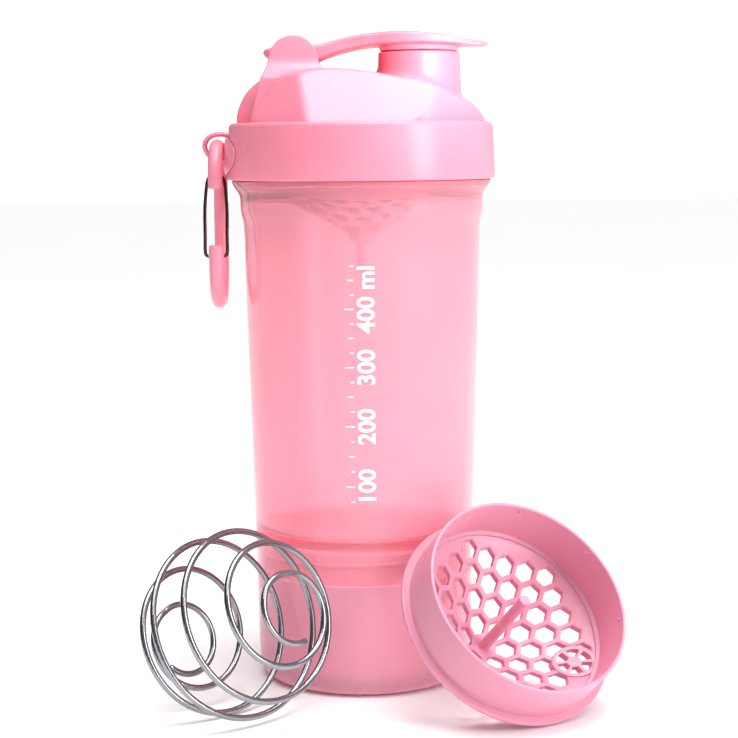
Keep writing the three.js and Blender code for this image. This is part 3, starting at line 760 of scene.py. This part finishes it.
# ------------------------------------------------------------------ lid seal
class SHAKER_OT_lid_seal(bpy.types.Operator):
    """Adds the soft ring that seals the lid on the tumbler's neck"""
    bl_idname = "shaker.add_lid_seal"
    bl_label = "Lid Seal"

    def execute(self, context):
        ring = revolve([(40.4, 198.3, 0.4), (43.6, 198.3, 0.4), (43.6, 199.8, 0.4),
                        (40.4, 199.8, 0.4)])
        finish_piece(join([ring]), "sealing_ring", "seal", "seal", ["lid_seal"])
        return {'FINISHED'}


# ------------------------------------------------------------------ carry loop
LOOP_PAD_Z = 190.0
LOOP_PAD_HALF_Y = 20.0
LOOP_PAD_HALF_Z = 7.0
LOOP_PAD_RISE = 1.2


def loop_pad():
    """The oval pad on the lid's skirt, bent to its curve."""
    bm = bmesh.new()
    bmesh.ops.create_circle(bm, cap_ends=True, radius=1.0, segments=64)
    face = next(iter(bm.faces))
    for _ in range(6):
        bmesh.ops.inset_region(bm, faces=[face], thickness=0.15, use_boundary=True,
                               use_even_offset=True)
    grown = bmesh.ops.extrude_face_region(bm, geom=bm.faces[:])["geom"]
    verts = [item for item in grown if isinstance(item, bmesh.types.BMVert)]
    bmesh.ops.translate(bm, vec=(0, 0, 1.0), verts=verts)
    bmesh.ops.recalc_face_normals(bm, faces=bm.faces)
    for vert in bm.verts:
        across, up, out = vert.co
        fall = max(0.0, (math.hypot(across, up) - 0.55) / 0.45) ** 2.2
        rise = LOOP_PAD_RISE * (1.0 - 0.75 * fall) if out > 0.5 else 0.0
        z = LOOP_PAD_Z + up * LOOP_PAD_HALF_Z
        radius = along([(RING_BOTTOM, 48.6), (RING_TOP, 47.6)], z) + rise
        turn = across * LOOP_PAD_HALF_Y / radius
        vert.co = Vector((-radius * math.cos(turn), radius * math.sin(turn), z))
    return bm


class SHAKER_OT_carry_loop(bpy.types.Operator):
    """Adds the loop and oval pad on the lid that the clip hangs from"""
    bl_idname = "shaker.add_carry_loop"
    bl_label = "Carry Loop"

    def execute(self, context):
        path = curve_through([
            (-47.6, 0, 197.1), (-49.6, 0, 197.8), (-53.0, 0, 197.6), (-55.4, 0, 196.0),
            (-56.3, 0, 193.6), (-55.4, 0, 190.9), (-53.6, 0, 189.5), (CLIP_X, 0, 189.3),
            (-49.0, 0, 188.4), (-47.9, 0, 187.8)], 6)
        bar = sweep(path, [Vector((0, 1, 0))] * len(path), 2.3, 0.9, 20)
        finish_piece(join([bar, loop_pad()]), "carry_loop_band", "lid", "shell",
                     ["carry_loop"], crease=50)
        return {'FINISHED'}


# ------------------------------------------------------------------ carabiner
CLIP_BAR = 2.6                         # radius of the clip's bar
CLIP_BEND = 12.4                       # radius of its two bends
GATE_HALF = 3.9                        # half the distance between the gate's strands
GATE_PIVOT_Z = 154.8
GATE_TOP_Z = 183.2


class SHAKER_OT_carabiner(bpy.types.Operator):
    """Adds the moulded clip and its wire gate"""
    bl_idname = "shaker.add_carabiner"
    bl_label = "Clip"

    def execute(self, context):
        top, bottom = 181.0, 150.1
        flat = [(-CLIP_BEND, 178.5)] + arc(0, top, CLIP_BEND, 180, 0, 28)
        flat += [(CLIP_BEND, top + (bottom - top) * k / 6) for k in range(1, 6)]
        flat += arc(0, bottom, CLIP_BEND, 0, -180, 28)
        flat += [(-CLIP_BEND, 154.0), (-CLIP_BEND, 158.6)]
        path = [Vector((CLIP_X, y, z)) for y, z in flat]
        bar = sweep(path, [Vector((1, 0, 0))] * len(path), CLIP_BAR, CLIP_BAR, 24,
                    end_round=0.9)
        finish_piece(join([bar]), "clip_bar", "clip", "shell",
                     ["carabiner_frame"])

        wire = sizes().gate_wire / MM
        y = -CLIP_BEND
        y_top = y + CLIP_BAR + 0.6 + 0.5
        strand = [(2.9, y, GATE_PIVOT_Z), (GATE_HALF - 0.8, y, GATE_PIVOT_Z),
                  (GATE_HALF, y, GATE_PIVOT_Z + 1.2), (GATE_HALF, y + 0.4, 162),
                  (GATE_HALF, y + 1.6, 172), (GATE_HALF - 1.0, y_top - 0.6, GATE_TOP_Z - 1.6),
                  (GATE_HALF - 3.0, y_top, GATE_TOP_Z - 0.75)]
        points = [(CLIP_X - a, b, c) for a, b, c in strand]
        points += [(CLIP_X + a, b, c) for a, b, c in reversed(strand)]
        path = curve_through(points, 8)
        middle = Vector((CLIP_X, 40.0, 168.0))
        gate = sweep(path, [middle - point for point in path], wire, wire, 12)
        finish_piece(join([gate]), "clip_gate_wire", "gate", "gate",
                     ["carabiner_gate"])
        return {'FINISHED'}


# ------------------------------------------------------------------ strainers
CONE_DEPTH = 21.2
CUP_INNER = 35.8
CUP_OUTER = 37.0
CUP_TOP = 17.2
FLANGE_RADIUS = 39.8
FLANGE_THICK = 1.5
HUB_RADIUS = 5.4                       # the cone's closed middle
MESH_REACH = 32.0                      # cells with their middle further out stay closed
PAD_PLACE = Vector((18.3, 22.0))       # of the slotted pad
PAD_RADIUS = 6.8
PAD_SIDES = 24


def cone_mesh():
    """The cone's honeycomb: hexagons inset, opened, drawn down to a point and thickened."""
    size = sizes()
    pitch, web, depth = size.hex_pitch / MM, size.web_width / MM, size.web_depth / MM
    bm = bmesh.new()
    for row in range(-6, 7):
        for column in range(-6, 7):
            x = pitch * (column + (0.5 if row % 2 else 0.0))
            y = pitch * row * math.sqrt(0.75)
            if math.hypot(x, y) < CUP_INNER + 3.5:
                bmesh.ops.create_circle(bm, cap_ends=True, segments=6, radius=pitch / math.sqrt(3),
                                        matrix=Matrix.Translation((x, y, 0)))
    bmesh.ops.remove_doubles(bm, verts=bm.verts, dist=0.05)
    cells = [face for face in bm.faces
             if HUB_RADIUS < face.calc_center_median().length < MESH_REACH]
    bmesh.ops.inset_individual(bm, faces=cells, thickness=web / 2, use_even_offset=True)
    rims = {vert for face in cells for vert in face.verts}
    for vert in bm.verts:
        reach = vert.co.length
        limit = 33.4 if vert in rims else CUP_INNER + 0.5
        if reach > limit:
            vert.co *= limit / reach
    bmesh.ops.delete(bm, geom=cells, context='FACES')
    covered = [face for face in bm.faces
               if (face.calc_center_median().xy - PAD_PLACE).length < 5.9]
    bmesh.ops.delete(bm, geom=covered, context='FACES')
    bmesh.ops.dissolve_degenerate(bm, edges=bm.edges, dist=0.08)
    return drawn_to_cone(bm, 0.1, depth)


def drawn_to_cone(bm, lift, depth):
    """Draws a flat sheet down onto the strainer's cone and gives it its depth."""
    for vert in bm.verts:
        reach = min(1.0, vert.co.xy.length / CUP_INNER)
        vert.co.z = -CONE_DEPTH * (1 - reach) + lift
    grown = bmesh.ops.extrude_face_region(bm, geom=bm.faces[:])["geom"]
    verts = [item for item in grown if isinstance(item, bmesh.types.BMVert)]
    bmesh.ops.translate(bm, vec=(0, 0, -depth), verts=verts)
    bmesh.ops.recalc_face_normals(bm, faces=bm.faces)
    round_edges(bm, 0.28, 50, 2)
    return bm


def slotted_pad():
    """A plain round pad with radial slots, set into the mesh."""
    bm = bmesh.new()
    bmesh.ops.create_circle(bm, cap_ends=True, radius=PAD_RADIUS, segments=PAD_SIDES)
    for width in (1.4, 3.1):
        disc = next(face for face in bm.faces if len(face.verts) == PAD_SIDES)
        bmesh.ops.inset_region(bm, faces=[disc], thickness=width, use_boundary=True,
                               use_even_offset=True)
    slots = []
    for face in bm.faces:
        middle = face.calc_center_median()
        step = int(math.degrees(math.atan2(middle.y, middle.x)) % 360 / (360 / PAD_SIDES))
        if len(face.verts) == 4 and middle.length < 5.0 and step % 4:
            slots.append(face)
    bmesh.ops.delete(bm, geom=slots, context='FACES')
    moved(bm, Matrix.Translation((PAD_PLACE.x, PAD_PLACE.y, 0)))
    return drawn_to_cone(bm, 0.5, 2.8)


def strainer_body():
    """A whole strainer in its own frame, with the flange at z = 0 and the cone below."""
    wall = revolve([
        (34.4, -FLANGE_THICK, 0.3), (FLANGE_RADIUS, -FLANGE_THICK, 0.5),
        (FLANGE_RADIUS, 0.0, 0.5), (CUP_OUTER, 0.0, 0.3), (CUP_OUTER, CUP_TOP, 0.5),
        (CUP_INNER, CUP_TOP, 0.5), (CUP_INNER, 0.3, 0.4), (34.4, 0.0, 0.3)])
    post = revolve([(0, -34.1), (1.6, -34.1, 0.5), (2.0, -31.0, 0.5), (2.0, -24.0, 0.4),
                    (4.6, -22.9, 0.6), (4.6, -19.4, 0.6), (2.0, -18.4, 0.5), (2.0, -3.0, 0.2),
                    (1.7, -2.8, 0.1), (1.7, -2.2, 0.1), (2.0, -2.0, 0.2), (2.0, 13.6, 0.6),
                    (0, 13.6)], 32)
    parts = [wall, cone_mesh(), slotted_pad(), post]
    nubs = 8
    for k in range(nubs):
        turn = (k + 0.5) / nubs * 2 * math.pi
        nub = bmesh.new()
        bmesh.ops.create_icosphere(nub, subdivisions=2, radius=0.6)
        moved(nub, Matrix.Translation((
            CUP_INNER * math.cos(turn), CUP_INNER * math.sin(turn), 14.6)))
        parts.append(nub)
    return join(parts)


class SHAKER_OT_strainers(bpy.types.Operator):
    """Adds the fitted strainer in the neck and the loose one beside the bottle"""
    bl_idname = "shaker.add_strainers"
    bl_label = "Strainers"

    def execute(self, context):
        fitted = moved(strainer_body(), Matrix.Translation((0, 0, STRAINER_Z)))
        finish_piece(fitted, "strainer_in_neck", "strainer", "strainer",
                     ["fitted_strainer"], crease=45)
        tilt, turn = 0.841, -1.004
        foot = FLANGE_RADIUS * math.sin(tilt) + FLANGE_THICK * math.cos(tilt) + 0.02
        place = (Matrix.Translation((49.2, -49.0, foot)) @ Matrix.Rotation(turn, 4, 'Z')
                 @ Matrix.Rotation(tilt, 4, 'Y'))
        finish_piece(moved(strainer_body(), place), "strainer_beside", "loose_strainer",
                     "strainer", ["loose_strainer"], crease=45)
        return {'FINISHED'}


# ------------------------------------------------------------------ whisk ball
class SHAKER_OT_whisk(bpy.types.Operator):
    """Adds the wire whisk ball, one wire wound on a sphere"""
    bl_idname = "shaker.add_whisk"
    bl_label = "Whisk Ball"

    def execute(self, context):
        radius, wire = sizes().whisk_radius / MM, sizes().whisk_wire / MM
        # The open coil's turns, and those of the flat end loops before and after it.
        turns, lead, tail = 4.89, 0.57, 0.72
        phase, start, finish = 4.524, 0.379, 0.400
        rise, bearing = 0.356, -0.777
        centre = Vector((-43.5, -59.5, radius + wire + 0.05))
        axis = Vector((math.cos(rise) * math.cos(bearing), math.cos(rise) * math.sin(bearing),
                       math.sin(rise)))
        side = axis.cross(Vector((0, 0, 1))).normalized()
        across = axis.cross(side)
        steps = round((lead + turns + tail) * 64)
        path, normals = [], []
        for k in range(steps + 1):
            lap = k / steps * (lead + turns + tail) - lead
            share = min(1.0, max(0.0, lap / turns))
            polar = start + (math.pi - finish - start) * share
            turn = phase - lap * 2 * math.pi
            spoke = (axis * math.cos(polar) + side * math.sin(polar) * math.cos(turn)
                     + across * math.sin(polar) * math.sin(turn))
            path.append(centre + spoke * radius)
            normals.append(spoke)
        coil = sweep(path, normals, wire, wire, 14, end_round=wire * 0.8)
        finish_piece(join([coil]), "whisk_coil", "whisk", "steel", ["whisk_ball"])
        return {'FINISHED'}


# ------------------------------------------------------------------ studio
def soft_light(name, place, target, width, power, spread_degrees=180.0):
    """An area light that faces a target."""
    lamp = bpy.data.lights.new(name, 'AREA')
    lamp.shape = 'RECTANGLE'
    lamp.size, lamp.size_y = width
    lamp.energy = power
    lamp.spread = math.radians(spread_degrees)
    holder = bpy.data.objects.new(name, lamp)
    holder.location = place
    holder.rotation_euler = (Vector(target) - Vector(place)).to_track_quat('-Z', 'Y').to_euler()
    bpy.context.collection.objects.link(holder)


def even_light(name, source, strength, spread_degrees):
    """A far, wide light that falls evenly on the floor."""
    lamp = bpy.data.lights.new(name, 'SUN')
    lamp.energy = strength
    lamp.angle = math.radians(spread_degrees)
    holder = bpy.data.objects.new(name, lamp)
    holder.rotation_euler = (-Vector(source)).to_track_quat('-Z', 'Y').to_euler()
    bpy.context.collection.objects.link(holder)


def pale_air(scene):
    """White surroundings that light the pieces less than they show, and least from -X."""
    world = bpy.data.worlds.new("studio_air")
    scene.world = world
    world.use_nodes = True
    nodes, links = world.node_tree.nodes, world.node_tree.links
    place = nodes.new("ShaderNodeTexCoord")
    split = nodes.new("ShaderNodeSeparateXYZ")
    links.new(place.outputs["Generated"], split.inputs["Vector"])
    sides = nodes.new("ShaderNodeMapRange")
    sides.inputs["From Min"].default_value = -1.0
    sides.inputs["To Min"].default_value = 0.04
    sides.inputs["To Max"].default_value = 0.62
    links.new(split.outputs["X"], sides.inputs["Value"])
    ray = nodes.new("ShaderNodeLightPath")
    seen = nodes.new("ShaderNodeMath")
    seen.operation = 'MAXIMUM'
    links.new(ray.outputs["Is Camera Ray"], seen.inputs[0])
    links.new(ray.outputs["Is Transmission Ray"], seen.inputs[1])
    level = nodes.new("ShaderNodeMix")
    level.inputs["B"].default_value = 1.2
    links.new(seen.outputs["Value"], level.inputs["Factor"])
    links.new(sides.outputs["Result"], level.inputs["A"])
    air = nodes["Background"]
    air.inputs["Color"].default_value = (1.0, 1.0, 1.0, 1.0)
    links.new(level.outputs["Result"], air.inputs["Strength"])


class SHAKER_OT_studio(bpy.types.Operator):
    """Sets the pale floor, soft studio lights and the camera"""
    bl_idname = "shaker.add_studio"
    bl_label = "Studio"

    def execute(self, context):
        bm = bmesh.new()
        bmesh.ops.create_circle(bm, cap_ends=True, radius=6.0, segments=64,
                                matrix=Matrix.Translation((0, 0, -0.0002)))
        mesh = bpy.data.meshes.new("studio_floor")
        bm.to_mesh(mesh)
        bm.free()
        mesh.materials.append(finish_of("floor"))
        floor = bpy.data.objects.new("studio_floor", mesh)
        context.collection.objects.link(floor)

        soft_light("key_light", (0.75, -0.58, 0.42), (0, 0, 0.12), (0.3, 0.7), 6.0)
        soft_light("top_light", (0.12, -0.12, 1.0), (0, 0, 0.15), (0.6, 0.4), 4.6)
        soft_light("cap_light", (0.30, -0.62, 0.29), (0.026, 0, 0.228), (0.04, 0.02), 0.012, 8.0)
        even_light("sky_light", (0.06, -0.12, 1.0), 2.25, 70.0)
        pale_air(context.scene)
        context.scene.view_settings.view_transform = 'Standard'

        lens = bpy.data.cameras.new("studio_camera")
        lens.lens = 90.0
        lens.sensor_width = 36.0
        lens.dof.use_dof = False
        camera = bpy.data.objects.new("studio_camera", lens)
        pitch, roll = math.radians(6.9), math.radians(0.5)
        camera.matrix_world = (Matrix.Translation((0.0022, -0.670, 0.1933))
                               @ Matrix.Rotation(math.pi / 2 - pitch, 4, 'X')
                               @ Matrix.Rotation(-roll, 4, 'Z'))
        context.collection.objects.link(camera)
        context.scene.camera = camera
        return {'FINISHED'}


# ------------------------------------------------------------------ panel
OPERATORS = (
    SHAKER_OT_studio, SHAKER_OT_compartment, SHAKER_OT_tumbler, SHAKER_OT_scale, SHAKER_OT_lid,
    SHAKER_OT_flip_cap, SHAKER_OT_lid_seal, SHAKER_OT_carry_loop, SHAKER_OT_carabiner,
    SHAKER_OT_strainers, SHAKER_OT_whisk,
)


class SHAKER_PT_sidebar(bpy.types.Panel):
    """Lists the bottle's sizes, colours and pieces"""
    bl_idname = "SHAKER_PT_sidebar"
    bl_label = "Shaker Bottle"
    bl_space_type = 'VIEW_3D'
    bl_region_type = 'UI'
    bl_category = "Shaker"

    def draw(self, context):
        layout = self.layout
        for group in (context.scene.shaker_sizes, context.scene.shaker_colours):
            box = layout.box()
            for key in group.bl_rna.properties.keys():
                if key not in {"rna_type", "name"}:
                    box.prop(group, key)
        for operator in OPERATORS:
            layout.operator(operator.bl_idname)


CLASSES = (ShakerSizes, ShakerColours) + OPERATORS + (SHAKER_PT_sidebar,)


def register():
    for cls in CLASSES:
        bpy.utils.register_class(cls)
    bpy.types.Scene.shaker_sizes = PointerProperty(type=ShakerSizes)
    bpy.types.Scene.shaker_colours = PointerProperty(type=ShakerColours)


def unregister():
    del bpy.types.Scene.shaker_colours
    del bpy.types.Scene.shaker_sizes
    for cls in reversed(CLASSES):
        bpy.utils.unregister_class(cls)


def main():
    register()
    bpy.ops.shaker.add_studio()
    bpy.ops.shaker.add_compartment()
    bpy.ops.shaker.add_tumbler()
    bpy.ops.shaker.add_scale()
    bpy.ops.shaker.add_lid()
    bpy.ops.shaker.add_flip_cap()
    bpy.ops.shaker.add_lid_seal()
    bpy.ops.shaker.add_carry_loop()
    bpy.ops.shaker.add_carabiner()
    bpy.ops.shaker.add_strainers()
    bpy.ops.shaker.add_whisk()


if __name__ == "__main__":
    main()
